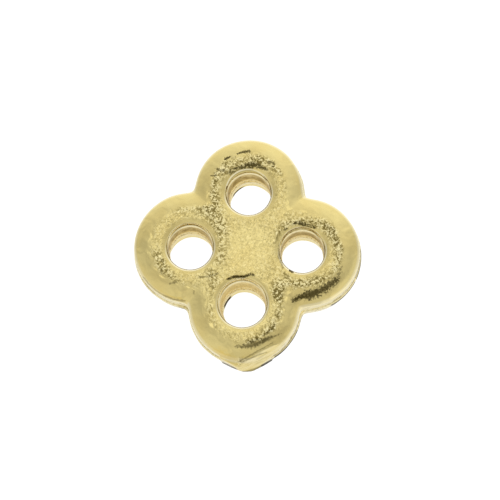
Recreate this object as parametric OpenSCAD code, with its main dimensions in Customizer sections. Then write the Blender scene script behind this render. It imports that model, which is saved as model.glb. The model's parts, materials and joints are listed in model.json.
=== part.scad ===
// Four-hole slider clasp: one small casting with a clover outline, for cords to slide through.
// Millimetres. +Z is up through the face, and the origin is the middle of the back face.

/* [Clover outline] */
// Distance from the middle of the clasp to the middle of each lobe and its hole
lobe_offset = 3; // [2.8:0.05:3]
// Radius of each lobe
lobe_r = 3; // [3:0.05:3.2]
// Thickness from the back face to the front face
plate_t = 3; // [2.4:0.1:3.4]

/* [Rounded shoulders] */
// How far each shoulder reaches in from the rim
shoulder_w = 0.85; // [0.6:0.05:0.85]
// How far each shoulder drops from the face to the side wall
shoulder_drop = 0.6; // [0.4:0.05:0.7]

/* [Cord holes] */
// Diameter of each hole's straight wall
hole_d = 2.35; // [1.6:0.05:2.5]
// How far each hole's rounded mouth reaches out from its wall
mouth_w = 0.55; // [0.3:0.05:0.6]
// How deep each rounded mouth goes
mouth_drop = 0.2; // [0.1:0.05:0.3]

/* [Casting marks] */
// How far the parting line stands out of the side wall
flash_w = 0.06; // [0.03:0.01:0.1]
// Thickness of the parting line
flash_t = 0.16; // [0.1:0.02:0.3]
// How far the clipped gate stands out of the lower lobe
gate_reach = 0.24; // [0.2:0.01:0.3]
// Width of the clipped gate at its root, inside the lower lobe
gate_w = 2.7; // [2.4:0.1:2.8]
// Width of the clipped gate's blunt tip
gate_tip_w = 0.5; // [0.3:0.1:0.8]
// Depth of the filed facet across the lower lobe's shoulder
file_depth = 0.16; // [0.08:0.02:0.24]

/* [Hidden] */
$fn = 96;
half_t = plate_t / 2;
hole_r = hole_d / 2;
// Slope where a rounded edge leaves the flat face, in degrees
edge_start = 6;
// Directions of the four lobes, counter-clockwise from +X
lobe_angles = [0, 90, 180, 270];
lower_lobe_angle = 270;
// The gate's direction round the lower lobe
gate_angle = 275;
// The gate's block is as thick as the straight side wall
gate_t = plate_t - 2 * shoulder_drop;
// How far the gate's root lies inside the lobe's wall
gate_root = 0.37;
// The filed facet's direction round the lower lobe, and its slope down from the front face
file_angle = 299;
file_slope = 56;
file_size = 4;
// Overshoot of a cutting body past the surface that it cuts
past = 1;

// Radius of the arc that starts at edge_start and falls by drop over a run of width
function edge_arc_r(width, drop) =
    norm([width, drop]) / (2 * sin(atan2(drop, width) - edge_start));

// Middle of the arc of radius r that leaves the face at [x, half_t].
// side is 1 for an edge that falls outwards, and -1 for one that falls inwards
function edge_arc_middle(x, r, side) =
    [x - side * r * sin(edge_start), half_t - r * cos(edge_start)];

// Disc of metal behind a rounded edge
module edge_disc(x, width, drop, side) {
    r = edge_arc_r(width, drop);
    translate(edge_arc_middle(x, r, side))
        circle(r);
}

// What a shoulder takes off the front corner of a lobe's section
module shoulder_cut() {
    start = lobe_r - shoulder_w;
    difference() {
        translate([start, half_t - shoulder_drop])
            square([shoulder_w + past, shoulder_drop + past]);
        edge_disc(start, shoulder_w, shoulder_drop, 1);
    }
}

// One lobe: a disc with a shoulder on both faces and a parting line round its middle
module lobe() {
    rotate_extrude()
        difference() {
            translate([0, -half_t])
                square([lobe_r, plate_t]);
            shoulder_cut();
            mirror([0, 1])
                shoulder_cut();
        }
    cylinder(r = lobe_r + flash_w, h = flash_t, center = true);
}

// What a rounded mouth takes off the front of a hole
module mouth_cut() {
    start = hole_r + mouth_w;
    rotate_extrude()
        difference() {
            translate([0, half_t - mouth_drop])
                square([start, mouth_drop + past]);
            edge_disc(start, mouth_w, mouth_drop, -1);
        }
}

// A straight hole with a rounded mouth at both faces
module cord_hole() {
    cylinder(r = hole_r, h = plate_t + 2 * past, center = true);
    mouth_cut();
    mirror([0, 0, 1])
        mouth_cut();
}

// Places its children at the middle of each lobe
module at_lobes() {
    for (angle = lobe_angles)
        rotate(angle)
            translate([lobe_offset, 0])
                children();
}

// Places its children at the middle of the lower lobe, with their +X in a direction round it
module round_lower_lobe(direction) {
    rotate(lower_lobe_angle)
        translate([lobe_offset, 0])
            rotate(direction - lower_lobe_angle)
                children();
}

// The web that fills the middle between the four lobes
module middle_web() {
    side = lobe_offset * sqrt(2);
    rotate(45)
        cube([side, side, plate_t], center = true);
}

// What is left of the gate after clipping: a blunt beak on the lower lobe's wall
module gate_stub() {
    round_lower_lobe(gate_angle)
        linear_extrude(height = gate_t, center = true)
            polygon([
                [lobe_r - gate_root, -gate_w / 2],
                [lobe_r + gate_reach, -gate_tip_w / 2],
                [lobe_r + gate_reach, gate_tip_w / 2],
                [lobe_r - gate_root, gate_w / 2]
            ]);
}

// The block that files a flat facet across the lower lobe's shoulder, beside the gate
module filing() {
    r = edge_arc_r(shoulder_w, shoulder_drop);
    middle = edge_arc_middle(lobe_r - shoulder_w, r, 1);
    round_lower_lobe(file_angle)
        translate([middle[0], 0, middle[1]])
            rotate([0, file_slope, 0])
                translate([-file_size / 2, -file_size / 2, r - file_depth])
                    cube(file_size);
}

module clover_casting() {
    color("gold")
        translate([0, 0, half_t])
            difference() {
                union() {
                    at_lobes()
                        lobe();
                    middle_web();
                    gate_stub();
                }
                at_lobes()
                    cord_hole();
                filing();
            }
}

clover_casting();
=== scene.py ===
"""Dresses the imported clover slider: the skin of the casting, its gold plate, the light and the camera.

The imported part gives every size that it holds. The skin is one closed mesh that Geometry Nodes make
from a distance formula, in millimetres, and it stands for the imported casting.
"""

import json
import logging
import math
from dataclasses import dataclass
from enum import Enum
from functools import reduce

import bpy
from mathutils import Matrix, Vector


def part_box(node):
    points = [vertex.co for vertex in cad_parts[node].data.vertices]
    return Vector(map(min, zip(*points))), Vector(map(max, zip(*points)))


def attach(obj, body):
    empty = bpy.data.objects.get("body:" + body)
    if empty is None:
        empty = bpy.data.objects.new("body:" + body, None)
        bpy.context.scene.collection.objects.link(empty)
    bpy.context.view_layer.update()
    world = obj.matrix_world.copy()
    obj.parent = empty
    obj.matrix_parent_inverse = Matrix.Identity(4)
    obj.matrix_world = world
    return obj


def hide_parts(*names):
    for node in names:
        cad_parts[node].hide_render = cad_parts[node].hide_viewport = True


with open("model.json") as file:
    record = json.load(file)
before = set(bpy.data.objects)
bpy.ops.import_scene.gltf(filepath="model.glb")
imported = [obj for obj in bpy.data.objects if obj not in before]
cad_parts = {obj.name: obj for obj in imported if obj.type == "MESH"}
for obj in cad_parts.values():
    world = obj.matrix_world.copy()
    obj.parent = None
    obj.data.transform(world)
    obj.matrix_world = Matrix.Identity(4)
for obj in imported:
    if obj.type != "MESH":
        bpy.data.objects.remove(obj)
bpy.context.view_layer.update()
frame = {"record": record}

MM = 0.001
CAST_NODE = "clover_casting"
BODY = "root"
PHOTO_PIXELS = 500
SENSOR_MM = 36.0

log = logging.getLogger("clover_slider")

Colour = tuple[float, float, float]
Point = tuple[float, float]
Path = tuple[Point, ...]
Socket = bpy.types.NodeSocket
Tree = bpy.types.NodeTree


@dataclass(frozen=True)
class Field:
    """A number that varies over the part, held as an output socket of a node tree."""

    tree: Tree
    socket: Socket

    def math(self, operation: str, *others: "Field | float") -> "Field":
        """Puts this number and others through one Math node.

        Args:
            operation: the node's operation.
            others: the node's second and third numbers.

        Returns:
            The node's result.
        """
        node = self.tree.nodes.new("ShaderNodeMath")
        node.operation = operation
        for slot, value in zip(node.inputs, (self, *others)):
            feed(self.tree, slot, value)
        return Field(self.tree, node.outputs[0])

    def __add__(self, other: "Field | float") -> "Field":
        """Adds a number."""
        return self.math("ADD", other)

    def __sub__(self, other: "Field | float") -> "Field":
        """Takes a number away."""
        return self.math("SUBTRACT", other)

    def __rsub__(self, other: float) -> "Field":
        """Takes this field from a plain number."""
        return self.math("MULTIPLY_ADD", -1.0, other)

    def __mul__(self, other: "Field | float") -> "Field":
        """Multiplies by a number."""
        return self.math("MULTIPLY", other)

    def __truediv__(self, other: "Field | float") -> "Field":
        """Divides by a number."""
        return self.math("DIVIDE", other)

    def __neg__(self) -> "Field":
        """Turns the sign."""
        return self.math("MULTIPLY", -1.0)

    def __abs__(self) -> "Field":
        """Drops the sign."""
        return self.math("ABSOLUTE")

    __radd__ = __add__
    __rmul__ = __mul__


Number = Field | float


def feed(tree: Tree, slot: Socket, value: Number) -> None:
    """Links a field to a node's input, or sets the input to a plain number.

    Args:
        tree: the tree that holds the node.
        slot: the node's input.
        value: a field or a plain number.
    """
    if isinstance(value, Field):
        tree.links.new(value.socket, slot)
    else:
        slot.default_value = value


def larger(a: Field, b: Number, blend: Number = 0.0) -> Field:
    """Returns the larger of two fields, with the crease between them rounded over blend."""
    return a.math("SMOOTH_MAX", b, blend) if blend else a.math("MAXIMUM", b)


def smaller(a: Field, b: Number, blend: Number = 0.0) -> Field:
    """Returns the smaller of two fields, with the crease between them rounded over blend."""
    return a.math("SMOOTH_MIN", b, blend) if blend else a.math("MINIMUM", b)


def hypot(a: Field, b: Field) -> Field:
    """Returns the length of the vector with these two components."""
    return a.math("MULTIPLY_ADD", a, b * b).math("SQRT")


def ramp(value: Field, start: Number, end: Number) -> Field:
    """Rises smoothly from 0 where value is start to 1 where it is end.

    Args:
        value: the number that drives the rise.
        start: where the rise begins.
        end: where it is complete; below start it falls instead.

    Returns:
        A number from 0 to 1.
    """
    node = value.tree.nodes.new("ShaderNodeMapRange")
    node.interpolation_type = "SMOOTHSTEP"
    for name, number in (("Value", value), ("From Min", start), ("From Max", end)):
        feed(value.tree, node.inputs[name], number)
    return Field(value.tree, node.outputs["Result"])


def lerp(share: Field, a: Number, b: Number) -> Field:
    """Returns a where share is 0 and b where it is 1."""
    return share.math("MULTIPLY_ADD", b - a, a)


def unit(degrees: float) -> Point:
    """Returns the direction at this angle, counter-clockwise from +X."""
    angle = math.radians(degrees)
    return math.cos(angle), math.sin(angle)


@dataclass(frozen=True)
class Place:
    """A point's three coordinates as fields, in millimetres."""

    x: Field
    y: Field
    z: Field

    @classmethod
    def split(cls, tree: Tree, vector: Socket) -> "Place":
        """Takes a vector socket apart.

        Args:
            tree: the tree that holds the socket.
            vector: the socket.

        Returns:
            Its three coordinates.
        """
        node = tree.nodes.new("ShaderNodeSeparateXYZ")
        tree.links.new(vector, node.inputs[0])
        return cls(*(Field(tree, out) for out in node.outputs))

    def scaled(self, x: Number, y: Number, z: Number) -> "Place":
        """Returns the place with each coordinate multiplied."""
        return Place(self.x * x, self.y * y, self.z * z)

    def vector(self) -> Socket:
        """Joins the coordinates.

        Returns:
            One vector socket.
        """
        node = self.x.tree.nodes.new("ShaderNodeCombineXYZ")
        for slot, value in zip(node.inputs, (self.x, self.y, self.z)):
            feed(self.x.tree, slot, value)
        return node.outputs[0]

    def noise(
        self, size: float, seed: Number, detail: float = 2.0, rough: float = 0.5, warp: float = 0.0
    ) -> Field:
        """Makes smooth noise at this place.

        Args:
            size: the width of the noise's largest bumps, in millimetres.
            seed: picks the pattern.
            detail: how many finer layers it has.
            rough: how strong the finer layers are.
            warp: how much the bumps are bent into streaks.

        Returns:
            A number from 0 to 1, 0.5 on average.
        """
        tree = self.x.tree
        node = tree.nodes.new("ShaderNodeTexNoise")
        node.noise_dimensions = "4D"
        tree.links.new(self.vector(), node.inputs["Vector"])
        feed(tree, node.inputs["W"], seed)
        node.inputs["Scale"].default_value = 1 / size
        node.inputs["Detail"].default_value = detail
        node.inputs["Roughness"].default_value = rough
        node.inputs["Distortion"].default_value = warp
        return Field(tree, node.outputs[0])


class Side(Enum):
    """The side of the clasp that a lobe is on, with the lobe's direction in degrees."""

    RIGHT = 0.0
    REAR = 90.0
    LEFT = 180.0
    FRONT = 270.0


@dataclass(frozen=True)
class LobeCast:
    """How one lobe came out of the mould, in millimetres beside its nominal size.

    For every millimetre towards the front face the hole leans by hole_lean and widens by hole_flare.
    mouth_scale is the size of the rounding at its mouths beside the nominal one, and mouth_shift is how
    far the pin that made its front mouth stood beside the pin that made its wall.
    """

    side: Side
    shift: Point
    swell: float
    hole_shift: Point
    hole_lean: Point
    hole_swell: float
    mouth_scale: float
    mouth_shift: Point
    hole_flare: float = 0.0

    def away(self, place: Place, offset: Number) -> Field:
        """Returns how far a place is from the lobe's axis."""
        out_x, out_y = unit(self.side.value)
        return hypot(place.x - offset * out_x - self.shift[0], place.y - offset * out_y - self.shift[1])

    def away_from_hole(
        self, place: Place, level: Number, offset: Number, beside: Point = (0.0, 0.0)
    ) -> Field:
        """Measures how far a place is from the axis of the lobe's hole.

        Args:
            place: the place.
            level: the height over the parting plane.
            offset: how far the lobes' middles are from the clasp's.
            beside: how far beside the hole's axis the measured one stands.

        Returns:
            The distance, less what the hole is too wide by.
        """
        out_x, out_y = unit(self.side.value)
        x = level * self.hole_lean[0] + offset * out_x + self.hole_shift[0]
        y = level * self.hole_lean[1] + offset * out_y + self.hole_shift[1]
        away = hypot(place.x - x - beside[0], place.y - y - beside[1])
        return away - self.hole_swell - level * self.hole_flare


LOBES = (
    LobeCast(
        Side.RIGHT, shift=(0.09, 0.03), swell=-0.02, mouth_scale=0.8, mouth_shift=(-0.03, 0.10),
        hole_shift=(-0.016, -0.051), hole_lean=(0.0, 0.051), hole_swell=-0.015,
    ),
    LobeCast(
        Side.REAR, shift=(-0.02, 0.20), swell=-0.065, mouth_scale=1.1, mouth_shift=(-0.03, 0.13),
        hole_shift=(0.05, -0.092), hole_lean=(-0.044, 0.108), hole_swell=-0.01,
    ),
    LobeCast(
        Side.LEFT, shift=(-0.01, 0.055), swell=0.04, mouth_scale=0.7, mouth_shift=(-0.02, 0.06),
        hole_shift=(0.002, -0.11), hole_lean=(0.025, 0.084), hole_swell=0.025,
    ),
    LobeCast(
        Side.FRONT, shift=(0.04, -0.02), swell=-0.045, mouth_scale=0.5, mouth_shift=(-0.01, 0.03),
        hole_shift=(-0.003, -0.048), hole_lean=(-0.026, 0.094), hole_swell=0.018, hole_flare=0.045,
    ),
)


def away_from_path(place: Place, path: Path, narrowing: float = 0.0) -> Field:
    """Measures how far a place is from a path of straight lines, seen from the front.

    Args:
        place: the place.
        path: the path's corners, in millimetres.
        narrowing: what is added to the distance for every millimetre along the path.

    Returns:
        The distance.
    """
    distances = []
    before = 0.0
    for (x, y), (to_x, to_y) in zip(path, path[1:]):
        length = math.hypot(to_x - x, to_y - y)
        along_x, along_y = (to_x - x) / length, (to_y - y) / length
        dx, dy = place.x - x, place.y - y
        along = smaller(larger(dx * along_x + dy * along_y, 0.0), length)
        distance = hypot(dx - along * along_x, dy - along * along_y)
        if narrowing:
            distance = distance + (along + before) * narrowing
        distances.append(distance)
        before += length
    return reduce(smaller, distances)


@dataclass(frozen=True)
class Scar:
    """A crease, dent or stain, or a dark band of painted shade, along a path, in millimetres, that
    narrows along it.

    Its edge wanders by up to ragged. A scar with a top lies on a wall, below that level over the
    parting plane.
    """

    path: Path
    width: float
    stain: float = 1.0
    ragged: float = 0.06
    narrowing: float = 0.0
    depth: float = 0.0
    top: float | None = None
    top_fade: float = 0.16

    def away(self, place: Place, wander: Field) -> Field:
        """Returns how far a place is from the path, which wander from -1 to 1 makes ragged."""
        return away_from_path(place, self.path, self.narrowing) + wander * self.ragged

    def mark(self, place: Place, level: Field, wander: Field) -> Field:
        """Returns how dark the stain is, from 0 to 1, at a level over the parting plane."""
        mark = ramp(self.away(place, wander), self.width, self.width * 0.5) * self.stain
        return mark if self.top is None else mark * ramp(level, self.top, self.top - self.top_fade)

    def cut(self, place: Place, wander: Field) -> Field:
        """Returns how deep the scar cuts into the face, in millimetres."""
        return ramp(self.away(place, wander), self.width * 1.6, self.width * 0.2) * self.depth


# What the front face shows: creases, dents and stains, and dark bands of painted shade on the shoulders.
# Each row: the path, its width, the stain, the raggedness, the narrowing
SCARS = (
    Scar(((-0.85, -1.70), (-0.55, -1.54), (-0.02, -1.53), (0.34, -1.35), (0.48, -1.42)), 0.06, depth=0.1),
    Scar(((-2.40, -1.64), (-1.87, -1.58), (-1.43, -1.40)), 0.05, 0.5, depth=0.04),
    Scar(((-0.11, 5.31), (-0.42, 5.28), (-0.70, 5.17)), 0.14, 0.95, 0.10, 0.12, depth=0.03),
    Scar(((-1.33, 4.87), (-1.22, 4.93), (-1.10, 5.00)), 0.12, 0.95, 0.10, 0.20, depth=0.03),
    Scar(((-0.99, 4.89), (-0.81, 4.97)), 0.05, 0.5, 0.08),
    Scar(((0.11, 4.60), (-0.30, 4.49), (-0.66, 4.38), (-0.90, 4.24)), 0.23, 0.95, 0.16, 0.09),
    Scar(((0.11, 4.60), (0.44, 4.57), (0.92, 4.36)), 0.21, 0.9, 0.16, 0.12),
    Scar(((-0.82, 4.24), (-1.06, 4.12)), 0.17, 0.7, 0.16),
    Scar(((1.01, 4.80), (1.26, 4.71), (1.18, 4.56)), 0.09, 0.7, 0.25),
    Scar(((-1.77, 4.28), (-1.40, 4.22)), 0.09, 0.75, 0.20),
    Scar(((-2.05, 3.92), (-1.81, 3.91)), 0.06, 0.75, 0.06),
    Scar(((2.38, -1.08), (2.52, -1.15)), 0.05, depth=0.05),
    Scar(((2.94, 1.46), (2.67, 1.52), (2.45, 1.44)), 0.14, 0.95, 0.14, 0.06),
    Scar(((2.94, 1.46), (3.21, 1.40), (3.60, 1.29)), 0.14, 0.95, 0.10, 0.06),
    Scar(((2.01, 1.09), (2.12, 1.18)), 0.07, 0.8, 0.10),
    Scar(((3.34, -2.38), (2.97, -2.45), (2.60, -2.66)), 0.24, 1.0, 0.20, 0.12),
    Scar(((3.34, -2.36), (3.90, -2.15), (4.45, -1.82), (4.85, -1.45)), 0.32, 0.97, 0.38, 0.06),
    Scar(((4.70, -1.58), (4.95, -1.25), (5.05, -0.80)), 0.12, 0.6, 0.35, 0.07),
    Scar(((0.70, -5.02), (0.33, -5.15), (0.05, -5.23), (-0.25, -5.25)), 0.28, 0.8, 0.22, 0.17),
    Scar(((0.70, -5.02), (1.26, -4.80), (1.75, -4.60), (2.06, -4.43)), 0.28, 0.85, 0.12, 0.15),
    Scar(((1.72, -3.89), (1.69, -4.11), (1.48, -4.34), (1.14, -4.62)), 0.06, 0.6, 0.20),
    Scar(((1.77, 0.30), (1.75, -0.35), (2.00, -0.95)), 0.07, 0.5, 0.15),
    Scar(((-0.03, -5.93), (0.63, -5.56), (1.07, -5.30), (1.62, -4.95)), 0.06, 0.50, 0.06, 0.01),
    Scar(((0.05, -5.95), (0.61, -5.75), (0.99, -5.55), (1.34, -5.41)), 0.06, 0.45, 0.04, 0.02),
    Scar(((0.60, -5.63), (1.12, -5.34), (1.59, -5.06), (2.02, -4.95)), 0.04, 0.22, 0.04, 0.01),
    Scar(((-4.48, -0.75), (-4.29, -0.97), (-4.41, -1.33), (-4.39, -1.55)), 0.05, 0.5, 0.16),
    Scar(((-3.92, -2.03), (-3.62, -1.95)), 0.06, 0.5, 0.16),
    Scar(((-2.63, -2.29), (-2.62, -2.47)), 0.05, 0.35, 0.12),
    Scar(((-5.41, -1.63), (-5.08, -2.02), (-4.69, -2.35), (-4.25, -2.60)), 0.045, 0.35, 0.06),
    Scar(((-4.25, -2.60), (-3.77, -2.78), (-3.11, -2.87)), 0.055, 0.45, 0.06),
)


# Dark lines of painted shade on the outer wall's underside and inside the holes. Each row: the path, its
# width, the stain, the raggedness
WALL_SHADE_LINES = (
    Scar(((-1.16, 3.34), (-0.82, 3.74), (-0.44, 4.05)), 0.16, 1.0, 0.02, top=-0.62),
    Scar(((-0.95, -2.20), (-1.06, -2.64)), 0.22, 0.85, 0.12, top=-0.35),
    Scar(((0.20, -6.20), (0.64, -6.14), (1.03, -5.85), (1.59, -5.50)), 0.25, 0.5, 0.20, top=0.06),
    Scar(((1.10, -5.80), (1.62, -5.50)), 0.25, 0.9, 0.10, top=0.06),
    Scar(((1.85, -5.32), (2.15, -5.03), (2.39, -4.78), (2.76, -4.20)), 0.30, 0.9, 0.10, top=0.155),
    Scar(((2.76, -4.20), (2.90, -3.67), (3.00, -3.30)), 0.25, 0.5, 0.20, top=0.12),
    Scar(((-0.95, -5.88), (-0.42, -6.14)), 0.20, 0.7, 0.25, top=0.06),
    Scar(((6.12, 0.30), (6.16, -0.40), (6.02, -1.0)), 0.25, 0.8, 0.20, top=0.15),
    Scar(((5.80, -1.45), (5.40, -1.98), (4.80, -2.53)), 0.25, 0.7, 0.30, top=0.14),
    Scar(((-2.45, -3.05), (-2.75, -3.00), (-3.30, -2.98)), 0.25, 0.45, 0.40, top=0.12),
)


@dataclass(frozen=True)
class Stretch:
    """A stretch of the casting that differs from the rest, along a path, in millimetres."""

    path: Path
    reach: float
    strength: float = 1.0

    def share(self, place: Place) -> Field:
        """Returns the strength on the path, falling to 0 at its reach."""
        return ramp(away_from_path(place, self.path), self.reach, self.reach * 0.2) * self.strength


# Where the front face is pitted. Each row: the path, its reach, the strength
PITTED = (
    Stretch(((-2.05, 2.90), (-1.96, 4.10), (-1.43, 4.34)), 0.65, 1.2),
    Stretch(((-1.43, 4.34), (-0.78, 4.65), (0.15, 4.75)), 0.55, 0.8),
    Stretch(((0.15, 4.88), (1.23, 4.75), (1.75, 4.32)), 0.50),
    Stretch(((2.06, 4.06), (2.37, 2.97), (2.20, 2.20)), 0.50, 0.55),
    Stretch(((-1.88, 2.68), (-1.69, 1.59), (-1.31, 0.79), (-1.32, -0.43)), 0.70),
    Stretch(((-3.73, 2.33), (-2.67, 2.51), (-1.97, 1.99)), 0.70, 1.3),
    Stretch(((2.10, 1.35), (2.87, 1.50), (3.50, 1.48), (4.29, 1.41)), 0.45),
    Stretch(((4.29, 1.41), (5.02, 0.37), (5.15, -0.57), (4.80, -1.45), (4.30, -1.85)), 0.60, 1.3),
    Stretch(((1.90, -2.04), (3.10, -1.95), (4.42, -1.70)), 0.75, 1.2),
    Stretch(((1.72, 1.04), (1.77, -0.04), (2.30, -1.49)), 0.35, 0.8),
    Stretch(((1.81, -2.32), (2.36, -2.83), (2.01, -3.91), (1.39, -4.73), (0.63, -5.16)), 0.65, 1.5),
    Stretch(((-1.36, -2.18), (-1.55, -3.52)), 0.40, 0.45),
    Stretch(((-4.60, -0.60), (-4.18, -1.48), (-3.89, -1.88), (-3.47, -2.26)), 0.55, 0.9),
    Stretch(((-1.80, -1.39), (-1.50, -2.05)), 0.45, 0.8),
)

# The end of the clipped gate, which wasn't burnished
ROUGH_BEAK = Stretch(((-0.05, -6.00), (0.45, -6.02), (0.85, -5.80)), 0.45, 0.85)
# Where the front shoulder stands fuller, beside the file marks. Its strength is in millimetres
FULL_SHOULDER = Stretch(((0.95, -5.35), (1.75, -4.95), (2.40, -4.30)), 1.1, 0.10)


@dataclass(frozen=True)
class RoundedEdge:
    """An edge rounded by one arc that leaves the face at a small slope, in millimetres."""

    width: float
    drop: float
    start_slope: float = math.radians(6)

    @property
    def radius(self) -> float:
        """Returns the arc's radius."""
        turn = math.atan2(self.drop, self.width) - self.start_slope
        return math.hypot(self.width, self.drop) / (2 * math.sin(turn))

    @property
    def reach(self) -> float:
        """Returns how far behind the edge's own line the arc's middle lies."""
        return self.width + self.radius * math.sin(self.start_slope)

    @property
    def sink(self) -> float:
        """Returns how far below the face the arc's middle lies."""
        return self.radius * math.cos(self.start_slope)

    def inputs(self, skin: "SkinTree", name: str) -> tuple[Field, ...]:
        """Adds the arc's radius, reach and sink to a tree as named inputs."""
        sizes = {"radius": self.radius, "reach": self.reach, "sink": self.sink}
        return tuple(skin.size(f"{name} arc {size}", value) for size, value in sizes.items())

    def drop_at(self, inside: float) -> float:
        """Returns how far the arc has dropped at this distance inside the edge's line."""
        return self.sink - math.sqrt(self.radius**2 - (self.reach - inside) ** 2)

    def distance(self, behind: Field, above: Field, radius: Field) -> Field:
        """Returns how far a place is outside the arc, from how far it is past the arc's middle."""
        return hypot(larger(behind, 0.0), larger(above, 0.0)) - radius


@dataclass(frozen=True)
class Facet:
    """A flat that a file left across the shoulder of the front lobe, in millimetres and degrees."""

    direction: float
    start_radius: float
    slope: float

    def distance(self, place: Place, level: Field, cast: "CastSkin") -> Field:
        """Measures how far a place is outside the facet's plane.

        Args:
            place: the place.
            level: the height over the parting plane.
            cast: the casting that the facet is on.

        Returns:
            The distance, negative inside.
        """
        out_x, out_y = unit(self.direction)
        drop = cast.shoulder.drop_at(cast.lobe_radius - self.start_radius)
        out = place.x * out_x + (place.y + cast.lobe_offset) * out_y - self.start_radius
        above = level - cast.thickness / 2 + drop
        lean = math.radians(self.slope)
        return out * math.sin(lean) + above * math.cos(lean)


FACETS = (Facet(299.0, 2.67, 66.0), Facet(290.0, 2.80, 72.0))


class SkinTree:
    """A Geometry Nodes tree whose sizes are named inputs, with the place that it looks at.

    The heights are measured from the parting plane, which is half the casting's thickness up.
    """

    def __init__(self, name: str, thickness: float, pattern: float) -> None:
        """Starts a tree.

        Args:
            name: the tree's name.
            thickness: the casting's thickness, in millimetres.
            pattern: the seed of all that is random.
        """
        self.tree = bpy.data.node_groups.new(name, "GeometryNodeTree")
        self.tree.interface.new_socket(
            name="Geometry", in_out="OUTPUT", socket_type="NodeSocketGeometry"
        )
        self.entry = self.tree.nodes.new("NodeGroupInput")
        self.values: dict[str, float] = {}
        self.place = Place.split(self.tree, self.node("GeometryNodeInputPosition").outputs[0])
        self.seed = self.size("Seed", pattern)
        self.half = self.size("Half thickness", thickness / 2)
        self.level = self.place.z - self.half
        self.height = abs(self.level)

    def size(self, name: str, value: float) -> Field:
        """Adds a named input.

        Args:
            name: the input's name.
            value: the number that the modifier gives it.

        Returns:
            The input as a field.
        """
        socket = self.tree.interface.new_socket(
            name=name, in_out="INPUT", socket_type="NodeSocketFloat"
        )
        self.values[socket.identifier] = value
        return Field(self.tree, self.entry.outputs[name])

    def node(self, kind: str, **links: Socket | Field) -> bpy.types.Node:
        """Adds a node.

        Args:
            kind: the node's type.
            links: what feeds its inputs, by the input's name with _ for a space.

        Returns:
            The node.
        """
        node = self.tree.nodes.new(kind)
        for name, source in links.items():
            slot = node.inputs[name.replace("_", " ")]
            self.tree.links.new(getattr(source, "socket", source), slot)
        return node

    def named(self, geometry: Socket, name: str, value: Field) -> Socket:
        """Stores a number on every point of a mesh.

        Args:
            geometry: the mesh.
            name: the attribute's name.
            value: the number.

        Returns:
            The mesh with the attribute.
        """
        node = self.node("GeometryNodeStoreNamedAttribute", Geometry=geometry)
        node.data_type = "FLOAT"
        node.domain = "POINT"
        node.inputs["Name"].default_value = name
        self.tree.links.new(value.socket, node.inputs["Value"])
        return node.outputs[0]

    def moved(self, mesh: Socket, amount: Field) -> Socket:
        """Moves every point along its normal.

        Args:
            mesh: the mesh.
            amount: how far each point goes, in millimetres.

        Returns:
            The moved mesh.
        """
        normal = self.node("GeometryNodeInputNormal").outputs[0]
        step = self.node("ShaderNodeVectorMath", Vector=normal)
        step.operation = "SCALE"
        feed(self.tree, step.inputs["Scale"], amount)
        return self.node("GeometryNodeSetPosition", Geometry=mesh, Offset=step.outputs[0]).outputs[0]

    def make_piece(self, name: str, mesh: Socket, material: bpy.types.Material) -> bpy.types.Object:
        """Ends the tree, runs it on a new object and keeps the result as a plain mesh.

        Args:
            name: the piece's name.
            mesh: the mesh, in millimetres.
            material: the finish.

        Returns:
            The finished piece, in metres and at the origin.
        """
        scaled = self.node("GeometryNodeTransform", Geometry=mesh)
        scaled.inputs["Scale"].default_value = (MM, MM, MM)
        smooth = self.node("GeometryNodeSetShadeSmooth", Geometry=scaled.outputs[0])
        real = self.node("GeometryNodeRealizeInstances", Geometry=smooth.outputs[0])
        dressed = self.node("GeometryNodeSetMaterial", Geometry=real.outputs[0])
        dressed.inputs["Material"].default_value = material
        self.node("NodeGroupOutput", Geometry=dressed.outputs[0])

        piece = bpy.data.objects.new(name, bpy.data.meshes.new(name))
        bpy.context.scene.collection.objects.link(piece)
        modifier = piece.modifiers.new(name, "NODES")
        modifier.node_group = self.tree
        for identifier, value in self.values.items():
            modifier[identifier] = value
        depsgraph = bpy.context.evaluated_depsgraph_get()
        piece.data = bpy.data.meshes.new_from_object(
            piece.evaluated_get(depsgraph), preserve_all_data_layers=True, depsgraph=depsgraph
        )
        piece.modifiers.remove(modifier)
        if not piece.data.materials:
            piece.data.materials.append(material)
        return piece


STORED = ("burnish", "bore", "pitting", "facet", "edge")


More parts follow.
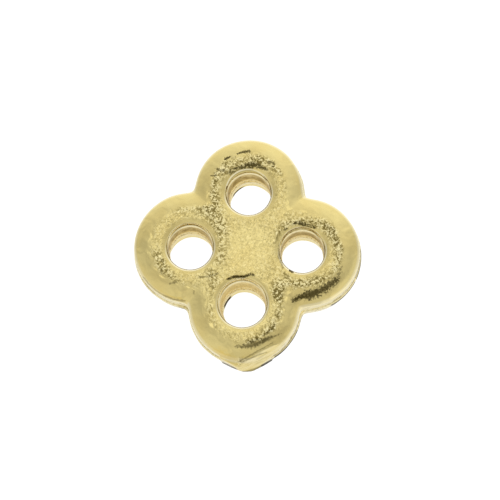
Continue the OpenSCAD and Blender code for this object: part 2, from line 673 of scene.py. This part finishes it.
@dataclass(frozen=True)
class Surface:
    """What the material knows of a place on the skin.

    In millimetres: the place, its level over the parting plane, and how far it is outside the nearest
    hole's wall and its mouth's ring. As numbers from 0 to 1: the crumpled foil pattern of the grain, the
    scratches of the file, and the shares that the skin's tree stored.
    """

    place: Place
    level: Field
    wall: Field
    ring: Field
    foil: Field
    scratch: Field
    burnish: Field
    bore: Field
    pitting: Field
    facet: Field
    edge: Field

    def grainy(self) -> Field:
        """Returns how much of the rough cast face shows."""
        return (1 - self.burnish) * (1 - self.bore) * (1 - self.facet) * ramp(self.wall, 0.06, 0.30)

    def rings(self) -> tuple[Field, Field]:
        """Draws the painted highlight on each hole's front rim and the painted shade at its lip.

        Where the mouth stands far beside the hole, each follows the mouth's own rim.

        Returns:
            How bright the painted rim highlight is and how dark the painted lip shade is, from 0 to 1.
        """
        face = ramp(self.level, 0.95, 1.10)
        far = ramp(self.wall - self.ring, -0.04, 0.05)
        rim_highlight = ramp(abs(self.wall - 0.11), 0.05, 0.02) * face * (1 - far)
        rim_highlight = larger(rim_highlight, ramp(abs(self.ring - 0.01), 0.045, 0.02) * face * far)
        rim_highlight = larger(rim_highlight, ramp(abs(self.wall - 0.01), 0.04, 0.02) * ramp(self.level, 0.85, 1.0) * far)
        lip_shade = ramp(abs(self.wall - 0.035), 0.035, 0.015) * face * (1 - far)
        return rim_highlight, larger(lip_shade, ramp(abs(self.ring + 0.045), 0.025, 0.010) * face * far * 0.4)

    def marks(self) -> tuple[Field, Field]:
        """Draws the creases, dents and stains, and the dark bands and lines of painted shade, which the
        grain's crests break up.

        Returns:
            How dark they are, from 0 to 1, and how deep, in millimetres.
        """
        place, level = self.place, self.level
        wander = (place.noise(0.10, 13.0, detail=2.0, rough=0.6, warp=0.6) - 0.5) * 2.0
        front = ramp(level, 0.6, 0.9)
        mark = reduce(larger, [scar.mark(place, level, wander) for scar in SCARS])
        mark = mark * front * ramp(self.ring, 0.03, 0.07)
        mark = mark * (1 - ramp(self.foil, 0.50, 0.60) * lerp(self.grainy(), 0.15, 0.75))
        # Dark lines of painted shade on the outer wall and in the holes
        wall_shade_line = reduce(larger, [scar.mark(place, level, wander) for scar in WALL_SHADE_LINES])
        cut = reduce(larger, [scar.cut(place, wander) for scar in SCARS if scar.depth])
        return larger(mark, wall_shade_line), cut * front


Layer = tuple[Field, Colour]


def layered(tree: Tree, base: Colour, layers: list[Layer]) -> Socket:
    """Lays colours over a first one.

    Args:
        tree: the material's tree.
        base: the first colour.
        layers: how far each layer hides what is under it, from 0 to 1, and its colour.

    Returns:
        The last mix's socket.
    """
    result = None
    for share, colour in layers:
        node = tree.nodes.new("ShaderNodeMix")
        node.data_type = "RGBA"
        feed(tree, node.inputs["Factor"], share)
        under, over = (slot for slot in node.inputs if slot.type == "RGBA")
        if result is None:
            under.default_value = (*base, 1.0)
        else:
            tree.links.new(result, under)
        over.default_value = (*colour, 1.0)
        result = next(out for out in node.outputs if out.type == "RGBA")
    return result


@dataclass(frozen=True)
class GoldPlate:
    """Pale gold plate over a rough casting, smooth where it was burnished.

    Depths are in millimetres. A graze is the colour of metal seen at a slant.
    """

    bright: Colour = (0.81, 0.675, 0.28)
    warm: Colour = (0.79, 0.64, 0.25)
    # Painted highlight on the grain's crests
    crest_highlight: Colour = (1.0, 0.88, 0.46)
    # The dark of creases, stains and dents, and of painted shade in dark bands, at the lips and at the
    # holes' back ends
    shade_and_grime: Colour = (0.085, 0.065, 0.018)
    # The dark of painted shade in the grain's pits, also used for the holes' grit and the file's grooves
    pit: Colour = (0.23, 0.175, 0.045)
    wall: Colour = (0.82, 0.63, 0.25)
    # The dark of painted shade in a band high in each hole and in the crevice under its ledge
    upper_wall_shade: Colour = (0.27, 0.17, 0.043)
    # Pale with painted light: the lower half of each hole's wall
    lit_lower_wall: Colour = (0.96, 0.88, 0.62)
    # Paler with wear and with painted highlights: edges, rims, ledges and filed lines
    highlight_and_wear: Colour = (0.97, 0.89, 0.62)
    graze: Colour = (1.0, 0.95, 0.74)
    wall_graze: Colour = (0.97, 0.88, 0.66)
    side_graze: Colour = (1.0, 1.0, 0.96)
    burnished_roughness: float = 0.13
    cast_roughness: float = 0.22
    wall_roughness: float = 0.34
    grain_size: float = 0.13
    grain_depth: float = 0.10
    polish_depth: float = 0.003
    ripple_depth: float = 0.055
    scratch_depth: float = 0.008
    front_band: float = 0.3
    scratch_angle: float = 32.0

    def material(self, cast: "CastSkin") -> bpy.types.Material:
        """Builds the material's nodes.

        Args:
            cast: the casting, for where its holes are.

        Returns:
            The material.
        """
        material = bpy.data.materials.new("gold_plate")
        material.use_nodes = True
        tree = material.node_tree
        spot = self.surface(tree, cast)
        rim_highlight, lip_shade = spot.rings()
        mark, cut = spot.marks()
        # Painted shade near the back end of each hole, laid in one dark layer with the lips' painted
        # shade and the scars
        foot_shade = spot.bore * ramp(abs(spot.level + 1.22), 0.22, 0.12) * 0.50
        dark = (larger(mark, larger(lip_shade * 0.85, foot_shade)), self.shade_and_grime)
        metal = [*self.cast_and_painted_light_layers(spot), *self.worn_and_painted_light_layers(spot, rim_highlight), dark]
        slant = [(spot.bore, self.wall_graze), (spot.edge, self.side_graze), dark]
        smudge = spot.place.noise(0.7, 5.0, detail=3.0) * 0.10 - 0.05
        rough = lerp(spot.burnish, self.cast_roughness, self.burnished_roughness) + smudge
        bump = tree.nodes.new("ShaderNodeBump")
        bump.inputs["Distance"].default_value = MM
        feed(tree, bump.inputs["Height"], self.relief(spot, cut))

        shader = tree.nodes["Principled BSDF"]
        shader.inputs["Metallic"].default_value = 1.0
        tree.links.new(layered(tree, self.bright, metal), shader.inputs["Base Color"])
        tree.links.new(layered(tree, self.graze, slant), shader.inputs["Specular Tint"])
        feed(tree, shader.inputs["Roughness"], lerp(spot.bore, rough, self.wall_roughness))
        tree.links.new(bump.outputs[0], shader.inputs["Normal"])
        return material

    def surface(self, tree: Tree, cast: "CastSkin") -> Surface:
        """Reads the place, and what the skin's tree stored there.

        Args:
            tree: the material's tree.
            cast: the casting, for where its holes are.

        Returns:
            The surface.
        """
        position = tree.nodes.new("ShaderNodeTexCoord").outputs["Object"]
        place = Place.split(tree, position).scaled(1 / MM, 1 / MM, 1 / MM)
        level = place.z - cast.thickness / 2
        wall = cast.hole_distance(place, level, cast.hole_radius)
        ring = reduce(smaller, [cast.mouth_distance(lobe, place) for lobe in LOBES]) - cast.hole_radius
        drift = place.noise(0.45, 8.0) * 0.16 - 0.08
        foil = place.noise(self.grain_size, 9.0, detail=2.5, rough=0.65, warp=0.8) + drift
        shares = []
        for name in STORED:
            node = tree.nodes.new("ShaderNodeAttribute")
            node.attribute_name = name
            shares.append(Field(tree, node.outputs["Fac"]))
        return Surface(place, level, wall, ring, foil, self.scratches(place), *shares)

    def scratches(self, place: Place) -> Field:
        """Draws fine lines that run along the file's strokes.

        Args:
            place: the place.

        Returns:
            A number from 0 to 1, 0.5 on average.
        """
        x, y = unit(self.scratch_angle)
        along = place.x * x + place.y * y
        across = place.y * x - place.x * y
        return Place(along * 0.08, across, place.z * 0.5).noise(0.10, 17.0, detail=2.0)

    def cast_and_painted_light_layers(self, spot: Surface) -> list[Layer]:
        """Colours the plate: its blotches as cast, painted highlights on its grain's crests, and the
        holes' walls, pale with painted light in their lower halves and with bands of painted shade in
        their upper halves.

        Args:
            spot: the surface.

        Returns:
            The layers of colour.
        """
        level = spot.level
        # Painted highlights on the grain's crests
        crest_highlight = ramp(spot.foil - lerp(spot.pitting, 0.07, 0.0), 0.48, 0.58)
        shown = lerp(spot.pitting, 0.04, 1.0) * spot.grainy()
        upper = spot.bore * ramp(level, -0.08, -0.02)
        patchy = ramp(spot.place.noise(0.30, 23.0, detail=3.0, rough=0.7), 0.35, 0.60)
        # A band of painted shade high in each hole, weaker in the front lobe
        shade_band = upper * ramp(level, 1.08, 0.88) * ramp(level, 0.20, 0.40) * lerp(patchy, 0.50, 1.0)
        shade_band = shade_band * lerp(ramp(spot.place.y, -1.6, -1.1), self.front_band, 1.0)
        # Painted shade in the crevice below the ledge
        seam_shade = spot.bore * ramp(abs(level + 0.14), 0.08, 0.03) * 0.35
        return [
            (ramp(spot.place.noise(1.4, 3.0), 0.35, 0.65), self.warm),
            (crest_highlight * shown, self.crest_highlight),
            # Each hole's wall is pale with painted light, and gold in its upper half
            (spot.bore, self.lit_lower_wall),
            (upper, self.wall),
            (larger(shade_band, seam_shade), self.upper_wall_shade),
        ]

    def worn_and_painted_light_layers(self, spot: Surface, rim_highlight: Field) -> list[Layer]:
        """Colours what wear and the file left, and painted light: edges paler with wear and painted
        highlights, painted highlights on the holes' rims and ledges, painted shade in the pits, and grit
        and scratches.

        Args:
            spot: the surface.
            rim_highlight: how bright the painted highlight on the holes' rims is.

        Returns:
            The layers of colour.
        """
        level, edge, facet = spot.level, spot.edge, spot.facet
        ledge = larger(ramp(abs(level - 0.08), 0.12, 0.06), ramp(abs(level + 0.40), 0.12, 0.05))
        corner = edge * ramp(abs(level), 0.60, 0.92)
        side = edge - corner
        # Painted highlights on the holes' rims and ledges and on the outer edges, which wear also pales
        gloss = larger(larger(rim_highlight * 0.8, spot.bore * ledge * 0.7), corner * 0.5 + side * 0.2)
        # A painted highlight along the parting line
        gloss = larger(gloss, edge * ramp(abs(level), 0.13, 0.07) * 0.7)
        gloss = larger(gloss, facet * lerp(ramp(spot.scratch, 0.45, 0.60), 0.15, 0.35))
        # Painted shade in the grain's pits
        pit = ramp(spot.foil + lerp(spot.pitting, 0.07, 0.0), 0.57, 0.39)
        pit = pit * lerp(spot.pitting, 0.04, 1.0) * spot.grainy()
        grit = ramp(spot.place.noise(0.12, 27.0, detail=2.0), 0.50, 0.34)
        grit = grit * (spot.bore * 0.42 + side * 0.25)
        groove = facet * ramp(spot.scratch, 0.47, 0.38) * 0.22
        return [(gloss, self.highlight_and_wear), (larger(larger(pit, grit), groove), self.pit)]

    def relief(self, spot: Surface, cut: Field) -> Field:
        """Measures the height of the fine relief, in millimetres.

        Args:
            spot: the surface.
            cut: how deep the creases and dents are.

        Returns:
            The height.
        """
        polish = spot.place.noise(self.grain_size, 7.0, detail=3.0, rough=0.6) * self.polish_depth
        ripple = spot.place.noise(0.55, 31.0, detail=1.0, warp=0.5) * spot.burnish * self.ripple_depth
        grain = spot.foil * lerp(spot.pitting, 0.10, 0.8) * spot.grainy() * self.grain_depth
        return grain + (polish + ripple) - cut + spot.scratch * spot.facet * self.scratch_depth


@dataclass
class CastSkin:
    """The skin of the whole casting, in millimetres."""

    lobe_offset: float
    lobe_radius: float
    thickness: float
    hole_radius: float
    shoulder: RoundedEdge = RoundedEdge(1.26, 0.52, 0.0)
    mouth: RoundedEdge = RoundedEdge(0.55, 0.20)
    pocket_depth: float = 0.25
    notch_fillet: float = 0.75
    notch_spread: float = 1.5
    draft_slope: float = 0.045
    flare_slope: float = 0.05
    flash_reach: float = 0.06
    flash_thickness: float = 0.16
    gate_direction: float = 275.0
    gate_reach: float = 0.31
    gate_tip: float = 0.5
    gate_width: float = 2.7
    gate_root: float = 0.8
    gate_slope: float = 0.55
    gate_top_slope: float = 55.0
    gate_sink: float = 0.06
    wall_blend: float = 0.12
    wave_length: float = 2.2
    wave_height: float = 0.08
    mismatch: Point = (0.01, -0.015)
    flat_voxel: float = 0.071
    upright_voxel: float = 0.056
    largest_step: float = 0.05
    margin: float = 0.3
    pattern: float = 11.0

    @classmethod
    def from_frame(cls) -> "CastSkin":
        """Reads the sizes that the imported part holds.

        Returns:
            The skin for a casting of these sizes.
        """
        low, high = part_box(CAST_NODE)
        bores = [m for m in frame["record"]["mounts"] if m["kind"] == "bore"]
        offset = max(bore["pos_m"][0] for bore in bores) / MM
        return cls(
            lobe_offset=offset,
            lobe_radius=high.x / MM - offset - cls.flash_reach,
            thickness=(high.z - low.z) / MM,
            hole_radius=bores[0]["dims"]["r_mm"],
        )

    def build(self, finish: GoldPlate) -> bpy.types.Object:
        """Makes the skin and its finish.

        Args:
            finish: the gold plate.

        Returns:
            The piece.
        """
        skin = SkinTree("clover_skin", self.thickness, self.pattern)
        place = skin.place
        front = ramp(skin.level, -0.02, 0.02)
        aside, along = self.mismatch
        shifted = Place(place.x - (1 - front) * aside, place.y - (1 - front) * along, place.z)
        outline = self.outline(skin, shifted)
        body = self.slab(skin, outline, outline - FULL_SHOULDER.share(place) * front)
        body = smaller(body, self.flash(skin, outline), 0.05)
        body = smaller(body, self.gate(skin), 0.10)
        filed = reduce(larger, [facet.distance(place, skin.level, self) for facet in FACETS])
        body = larger(body, filed, 0.03)
        wall, body = self.holes(skin, shifted, body)
        # The mesher's points are pulled onto the true surface
        step = smaller(larger(-body, -self.largest_step), self.largest_step)
        mesh = skin.moved(self.meshed(skin, body), step)
        mesh = self.roughened(skin, mesh, outline, wall, filed)
        return skin.make_piece("clover_skin", mesh, finish.material(self))

    def outline(self, skin: SkinTree, place: Place) -> Field:
        """Measures how far a place is outside the clover outline, seen from the front.

        Args:
            skin: the tree.
            place: the place, moved by the mould halves' mismatch.

        Returns:
            The distance, negative inside.
        """
        offset = skin.size("Lobe offset", self.lobe_offset)
        radius = skin.size("Lobe radius", self.lobe_radius)
        fillet = skin.size("Notch fillet", self.notch_fillet)
        shapes = [(abs(place.x) + abs(place.y) - offset) * math.sqrt(0.5)]
        for lobe in LOBES:
            shapes.append(lobe.away(place, offset) - radius - lobe.swell)
        depth = -reduce(smaller, shapes)
        blend = fillet + larger(depth, 0.0) * self.notch_spread
        result = reduce(lambda a, b: smaller(a, b, blend), shapes)
        wave = place.scaled(1.0, 1.0, 0.3).noise(self.wave_length, skin.seed, detail=1.0) - 0.5
        draft = skin.size("Draft slope", self.draft_slope)
        return result + wave * self.wave_height + skin.height * draft

    def slab(self, skin: SkinTree, outline: Field, shoulder: Field) -> Field:
        """Measures how far a place is outside the slab with its rounded shoulders.

        Args:
            skin: the tree.
            outline: the distance outside the outline.
            shoulder: the distance outside the line that the shoulder ends at.

        Returns:
            The distance, negative inside.
        """
        radius, reach, sink = self.shoulder.inputs(skin, "Shoulder")
        above = skin.height - skin.half
        rounded = self.shoulder.distance(shoulder + reach, above + sink, radius)
        return larger(larger(rounded, above, 0.03), outline, self.wall_blend)

    def flash(self, skin: SkinTree, outline: Field) -> Field:
        """Measures how far a place is outside the thin parting line, which comes and goes.

        Args:
            skin: the tree.
            outline: the distance outside the outline.

        Returns:
            The distance, negative inside.
        """
        reach = skin.size("Flash reach", self.flash_reach)
        thickness = skin.size("Flash thickness", self.flash_thickness)
        uneven = skin.place.noise(1.6, skin.seed + 1.0) * 1.2 + 0.3
        return larger(skin.height - thickness / 2, outline - reach * uneven, 0.04)

    def gate(self, skin: SkinTree) -> Field:
        """Measures how far a place is outside the clipped gate on the front lobe.

        Args:
            skin: the tree.

        Returns:
            The distance, negative inside.
        """
        reach = skin.size("Gate reach", self.gate_reach)
        tip = skin.size("Gate tip width", self.gate_tip)
        out_x, out_y = unit(self.gate_direction)
        x, y = skin.place.x, skin.place.y + self.lobe_offset
        out = x * out_x + y * out_y - self.lobe_radius
        across = abs(x * -out_y + y * out_x)
        steep = math.hypot(1.0, self.gate_slope)
        flank = (out - reach + (across - tip / 2) * self.gate_slope) / steep
        end = larger(flank, out - reach, 0.12)
        inner = larger(-out - self.gate_root, across - self.gate_width / 2)
        lean = math.radians(self.gate_top_slope)
        above = skin.height - self.thickness / 2 + self.shoulder.drop + self.gate_sink
        top = larger(out * math.sin(lean) + above * math.cos(lean), above)
        return larger(larger(end, top, 0.12), inner)

    def hole_distance(self, place: Place, level: Field, radius: Number) -> Field:
        """Returns how far a place is outside the nearest hole's wall of this radius."""
        away = [lobe.away_from_hole(place, level, self.lobe_offset) for lobe in LOBES]
        return reduce(smaller, away) - radius

    def mouth_distance(self, lobe: LobeCast, place: Place) -> Field:
        """Returns how far a place is from the axis of a lobe's front mouth."""
        return lobe.away_from_hole(place, self.thickness / 2, self.lobe_offset, lobe.mouth_shift)

    def holes(self, skin: SkinTree, place: Place, body: Field) -> tuple[Field, Field]:
        """Cuts the four cord holes, with rounded mouths and a ledge where the core pins met.

        Args:
            skin: the tree.
            place: the place, moved by the mould halves' mismatch.
            body: the distance outside the uncut casting.

        Returns:
            The distance outside the nearest hole's wall, and the distance outside the cut casting.
        """
        radius = skin.size("Hole radius", self.hole_radius)
        arc, reach, sink = self.mouth.inputs(skin, "Mouth")
        cut = body
        pockets = []
        for lobe in LOBES:
            away = self.mouth_distance(lobe, place) - radius
            pockets.append(larger(away, skin.half - self.pocket_depth - skin.level))
            behind = reach * lobe.mouth_scale - away
            above = skin.height - skin.half + sink * lobe.mouth_scale
            cut = larger(cut, self.mouth.distance(behind, above, arc * lobe.mouth_scale), 0.03)
        cut = larger(cut, -reduce(smaller, pockets), 0.04)
        nearest = self.hole_distance(place, skin.level, radius)
        draft = skin.height * self.draft_slope
        wall = nearest + 0.03 - draft + smaller(skin.level, 0.0) * self.flare_slope
        cut = larger(cut, -wall, 0.07)
        ledge = larger(larger(skin.height - 0.06, -wall - 0.03), wall - 0.3)
        return nearest, smaller(cut, ledge, 0.04)

    def meshed(self, skin: SkinTree, body: Field) -> Socket:
        """Makes a mesh where the distance is zero.

        Args:
            skin: the tree.
            body: the distance outside the casting.

        Returns:
            The mesh.
        """
        side = self.lobe_offset + self.lobe_radius + self.gate_reach + self.margin
        low, high = (-side, -side, -self.margin), (side, side, self.thickness + self.margin)
        cube = skin.node("GeometryNodeVolumeCube", Density=-body)
        cube.inputs["Background"].default_value = -1.0
        cube.inputs["Min"].default_value = low
        cube.inputs["Max"].default_value = high
        voxels = (self.flat_voxel, self.flat_voxel, self.upright_voxel)
        for axis, start, end, voxel in zip("XYZ", low, high, voxels):
            cube.inputs[f"Resolution {axis}"].default_value = round((end - start) / voxel) + 1
        mesher = skin.node("GeometryNodeVolumeToMesh", Volume=cube.outputs[0])
        mesher.resolution_mode = "GRID"
        mesher.inputs["Threshold"].default_value = 0.0
        return mesher.outputs[0]

    def roughened(
        self, skin: SkinTree, mesh: Socket, outline: Field, wall: Field, filed: Field
    ) -> Socket:
        """Gives the skin its cast relief, and stores which parts are burnished, pitted and filed.

        Args:
            skin: the tree.
            mesh: the smooth mesh.
            outline: the distance outside the outline.
            wall: the distance outside the nearest hole's wall.
            filed: the distance outside the filed facets.

        Returns:
            The rough mesh, in millimetres.
        """
        place, seed, half = skin.place, skin.seed, skin.half
        wavering = outline + (place.noise(0.35, seed + 2.0, detail=3.0) - 0.5) * 0.7
        burnish = ramp(wavering, -1.02, -0.66) * (1 - ROUGH_BEAK.share(place))
        bore = ramp(wall, 0.06, -0.02) * ramp(skin.height, half - 0.08, half - 0.24)
        facet = ramp(filed, -0.05, -0.015)
        edge = ramp(outline, -0.16, -0.07) * ramp(outline, 0.14, 0.04)
        web = ramp(hypot(place.x, place.y), 1.7, 0.9)
        mouth = ramp(wall, 0.42, 0.17)
        patch = reduce(larger, [stretch.share(place) for stretch in (*PITTED, ROUGH_BEAK)])
        cast = (1 - burnish) * (1 - bore) * (1 - facet)
        pitting = cast * (1 - mouth * 0.85) * lerp(patch, 0.42, 1.0) * (1 - web * 0.4)

        lump = (place.noise(0.40, seed + 3.0, detail=2.0) - 0.5) * 0.08
        pit = ramp(place.noise(0.26, seed + 4.0, detail=1.0), 0.52, 0.72)
        sway = (place.noise(1.3, seed + 5.0, detail=1.0) - 0.5) * 0.03
        core = (place.scaled(1.0, 1.0, 0.6).noise(0.5, seed + 6.0) - 0.5) * 0.05
        relief = sway + cast * (1 - web * 0.7) * (1 - mouth * 0.7) * lump
        relief = relief - pitting * pit * 0.05 + bore * core
        # Nothing stands out below the back face
        relief = smaller(relief, skin.level + half)
        mesh = skin.moved(mesh, relief)
        for name, value in zip(STORED, (burnish, bore, pitting, facet, edge)):
            mesh = skin.named(mesh, name, value)
        return mesh

    def dress(self, piece: bpy.types.Object) -> None:
        """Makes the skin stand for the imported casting.

        Args:
            piece: the skin.
        """
        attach(piece, BODY)
        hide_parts(CAST_NODE)


@dataclass(frozen=True)
class PhotoCamera:
    """The photo's camera, in millimetres, degrees and the photo's pixels."""

    tilt: float = 12.1
    turn: float = 14.65
    roll: float = -12.14
    distance: float = 95.86
    pixels_per_mm: float = 18.92
    aim_pixel: Point = (245.77, 248.56)

    def back(self) -> Vector:
        """Finds the direction from the clasp to the camera.

        Returns:
            The direction, with length 1.
        """
        out_x, out_y = unit(270.0 + self.turn)
        tilt = math.radians(self.tilt)
        return Vector((out_x * math.sin(tilt), out_y * math.sin(tilt), math.cos(tilt)))

    def build(self, aim: Vector) -> bpy.types.Object:
        """Makes the scene's camera.

        Args:
            aim: the place on the clasp that the photo shows at aim_pixel, in metres.

        Returns:
            The camera.
        """
        back = self.back()
        level_right = Vector((0, 0, 1)).cross(back).normalized()
        turned = Matrix.Rotation(math.radians(self.roll), 3, back)
        right = turned @ level_right
        up = back.cross(right)
        middle = PHOTO_PIXELS / 2
        aside = (middle - self.aim_pixel[0]) / self.pixels_per_mm * MM
        below = (self.aim_pixel[1] - middle) / self.pixels_per_mm * MM
        place = aim + back * self.distance * MM + right * aside + up * below
        data = bpy.data.cameras.new("camera")
        data.sensor_width = SENSOR_MM
        data.lens = SENSOR_MM * self.distance * self.pixels_per_mm / PHOTO_PIXELS
        data.clip_start = MM
        data.clip_end = 10.0
        camera = bpy.data.objects.new("camera", data)
        camera.matrix_world = Matrix.Translation(place) @ Matrix((right, up, back)).transposed().to_4x4()
        bpy.context.scene.collection.objects.link(camera)
        bpy.context.scene.camera = camera
        return camera


@dataclass(frozen=True)
class Glow:
    """A part of the light tent that is brighter or darker than the rest, in degrees."""

    turn: float
    tilt: float
    edge: float
    core: float
    gain: float

    def share(self, direction: Place) -> Field:
        """Finds how far inside this part a direction lies.

        Args:
            direction: the direction, with length 1.

        Returns:
            A number from 0 at the part's edge to 1 in its core.
        """
        out_x, out_y = unit(self.turn)
        lean = math.radians(self.tilt)
        x, y, z = out_x * math.sin(lean), out_y * math.sin(lean), math.cos(lean)
        toward = direction.x * x + direction.y * y + direction.z * z
        return ramp(toward, math.cos(math.radians(self.edge)), math.cos(math.radians(self.core)))


# The tent's uneven light. Each row: turn, tilt from straight up, radius, core radius, added light
GLOWS = (
    Glow(80.0, 70.0, 90.0, 0.0, 0.33),
    Glow(145.0, 35.0, 67.0, 0.0, -0.18),
    Glow(3.0, 71.0, 64.0, 0.0, -0.23),
    Glow(212.0, 66.0, 40.0, 28.0, 0.11),
    Glow(178.0, 14.0, 23.0, 15.0, 0.10),
    Glow(337.0, 90.0, 50.0, 0.0, 0.34),
    Glow(0.0, 41.0, 12.0, 6.0, 0.06),
    Glow(153.0, 97.0, 32.0, 20.0, 0.03),
    Glow(105.0, 12.0, 20.0, 6.0, 0.36),
    Glow(278.0, 27.0, 26.0, 8.0, 0.09),
)


# Dark patches near the lens, which the front shoulders mirror. Their gain is the light left there
DARKS = (
    Glow(332.0, 18.0, 14.0, 4.0, 0.50),
    Glow(312.0, 27.0, 14.0, 4.0, 0.60),
    Glow(287.0, 32.0, 12.5, 2.0, 0.62),
)


# Where the light is amber. Its gain is how much blue it lacks
AMBER = Glow(245.0, 84.0, 30.0, 10.0, 0.30)


@dataclass(frozen=True)
class LightTent:
    """A white light tent over a glowing white table.

    table_gain is the light that rises from the table, and green_loss is how much green the amber light
    lacks for all the blue that it lacks.
    """

    base: float = 0.64
    table_gain: float = 0.20
    green_loss: float = 0.25
    exposure: float = 1.135
    table_glow: float = 1.05
    table_size: float = 0.6

    def build_tent(self) -> None:
        """Lights the scene from all round."""
        world = bpy.data.worlds.new("light_tent")
        world.use_nodes = True
        bpy.context.scene.world = world
        tree = world.node_tree
        direction = Place.split(tree, tree.nodes.new("ShaderNodeTexCoord").outputs["Generated"])
        light = ramp(-direction.z, -0.03, 0.61) * self.table_gain + self.base
        for glow in GLOWS:
            light = light + glow.share(direction) * glow.gain
        for dark in DARKS:
            light = lerp(dark.share(direction), light, dark.gain)
        light = light * self.exposure
        tree.links.new(light.socket, tree.nodes["Background"].inputs["Strength"])
        amber = AMBER.share(direction) * AMBER.gain
        tint = tree.nodes.new("ShaderNodeCombineColor")
        tint.inputs["Red"].default_value = 1.0
        feed(tree, tint.inputs["Green"], 1 - amber * self.green_loss)
        feed(tree, tint.inputs["Blue"], 1 - amber)
        tree.links.new(tint.outputs[0], tree.nodes["Background"].inputs["Color"])

    def build_table(self) -> bpy.types.Object:
        """Makes the pale table that the clasp lies on.

        Returns:
            The table.
        """
        half = self.table_size / 2
        mesh = bpy.data.meshes.new("light_table")
        corners = [(-half, -half, 0), (half, -half, 0), (half, half, 0), (-half, half, 0)]
        mesh.from_pydata(corners, [], [(0, 1, 2, 3)])
        material = bpy.data.materials.new("light_table")
        material.use_nodes = True
        shader = material.node_tree.nodes["Principled BSDF"]
        shader.inputs["Base Color"].default_value = (0.1, 0.1, 0.1, 1)
        shader.inputs["Roughness"].default_value = 0.9
        shader.inputs["Emission Color"].default_value = (1, 1, 1, 1)
        shader.inputs["Emission Strength"].default_value = self.table_glow
        mesh.materials.append(material)
        table = bpy.data.objects.new("light_table", mesh)
        bpy.context.scene.collection.objects.link(table)
        table.visible_glossy = False
        return table


def main() -> None:
    """Builds the clasp's skin, the light and the camera."""
    logging.basicConfig(level=logging.INFO, format="%(name)s: %(message)s")
    bpy.context.scene.view_settings.view_transform = "Standard"
    camera = PhotoCamera()
    _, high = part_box(CAST_NODE)
    camera.build(Vector((0, 0, high.z)))
    cast = CastSkin.from_frame()
    piece = cast.build(GoldPlate())
    cast.dress(piece)
    mesh = piece.data
    mesh.calc_loop_triangles()
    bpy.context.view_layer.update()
    tent = LightTent()
    tent.build_tent()
    log.info("%s is laid", tent.build_table().name)


if __name__ == "__main__":
    main()
